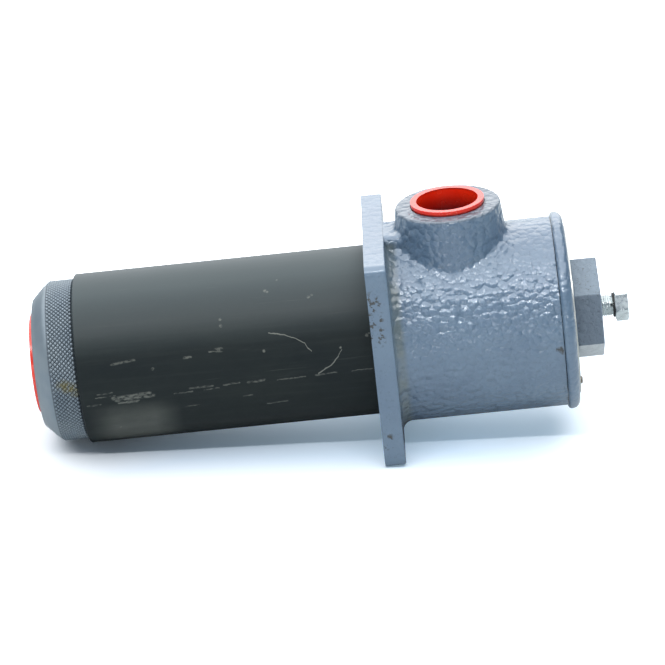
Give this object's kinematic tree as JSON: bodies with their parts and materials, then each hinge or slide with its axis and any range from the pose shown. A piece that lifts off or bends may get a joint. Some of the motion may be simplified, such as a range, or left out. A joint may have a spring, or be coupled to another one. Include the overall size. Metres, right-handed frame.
{
  "type": "return line filter",
  "caption": "Tank-top return line filter: square-flanged cast head with side inlet boss, screwed hexagon cover with bleed screw, long steel tube and knurled outlet end, ports plugged.",
  "frame": {"origin": "centre of the flange's tank-side face, on the axis of the barrel and tube", "axes": "+X along the axis towards the screwed cover, +Z along the inlet port's axis, out of the port"},
  "size_m": [0.2668, 0.095, 0.1059],
  "materials": {
    "grey_paint": "glossy hammered paint over a sand casting",
    "dark_steel": "dark phosphated tube with handling scratches",
    "grey_aluminium": "satin with a diamond knurl",
    "red_plastic": "soft moulded polyethylene",
    "plate_aluminium": "rolled sheet",
    "bright_steel": "bare",
    "zinc_steel": "bright zinc plated",
    "rubber": "matte black",
    "filter_paper": "folded resin-bound paper"
  },
  "bodies": {
    "housing": {"filter_head": "grey_paint", "housing_tube": "dark_steel", "element_bottom_cap": "zinc_steel", "element_seal": "rubber", "element_top_cap": "zinc_steel", "pleated_media": "filter_paper", "media_bands": "plate_aluminium", "core_tube": "zinc_steel", "lift_strap": "zinc_steel", "valve_seat": "bright_steel", "valve_cage": "zinc_steel", "bypass_spring": "bright_steel"},
    "cover_ring": {"cover_seal": "rubber"},
    "cover": {"cover": "grey_paint", "name_plate": "plate_aluminium", "plate_rivets": "bright_steel"},
    "bleed_ring": {"bleed_screw_seal": "rubber"},
    "bleed": {"bleed_screw": "zinc_steel"},
    "outlet_ring": {"end_cap_seal": "rubber"},
    "outlet_end": {"end_cap": "grey_aluminium"},
    "outlet_cup": {"outlet_plug": "red_plastic"},
    "inlet_cup": {"inlet_plug": "red_plastic"},
    "poppet": {"bypass_poppet": "plate_aluminium"}
  },
  "joints": [
    {"name": "cover_lift", "type": "slide", "parent": "housing", "child": "cover_ring", "axis": [1, 0, 0], "range_m": [0, 0.01005]},
    {"name": "cover_turn", "type": "hinge", "parent": "cover_ring", "child": "cover", "pos_m": [0.0833, 0, 0], "axis": [1, 0, 0], "range_deg": [0, 1800]},
    {"name": "bleed_lift", "type": "slide", "parent": "cover", "child": "bleed_ring", "axis": [1, 0, 0], "range_m": [-0.00525, 0.00185]},
    {"name": "bleed_turn", "type": "hinge", "parent": "bleed_ring", "child": "bleed", "pos_m": [0.1024, 0, 0], "axis": [1, 0, 0], "range_deg": [-2070, 720]},
    {"name": "outlet_lift", "type": "slide", "parent": "housing", "child": "outlet_ring", "axis": [-1, 0, 0], "range_m": [0, 0.01205]},
    {"name": "outlet_turn", "type": "hinge", "parent": "outlet_ring", "child": "outlet_end", "pos_m": [-0.131, 0, 0], "axis": [-1, 0, 0], "range_deg": [0, 2160]},
    {"name": "outlet_plug_pull", "type": "slide", "parent": "outlet_end", "child": "outlet_cup", "axis": [-1, 0, 0], "range_m": [0, 0.05]},
    {"name": "inlet_plug_pull", "type": "slide", "parent": "housing", "child": "inlet_cup", "axis": [0, 0, 1], "range_m": [0, 0.05]},
    {"name": "bypass_open", "type": "slide", "parent": "housing", "child": "poppet", "axis": [-1, 0, 0], "range_m": [0, 0.0045], "stiffness_N_per_m": 900, "springref_m": -0.004, "deforming": ["bypass_spring"]}
  ],
  "couplings": [
    {"joint": "cover_lift", "follows": "cover_turn", "m_per_rad": 0.00031831},
    {"joint": "bleed_lift", "follows": "bleed_turn", "m_per_rad": 0.00014435},
    {"joint": "outlet_lift", "follows": "outlet_turn", "m_per_rad": 0.00031831}
  ]
}
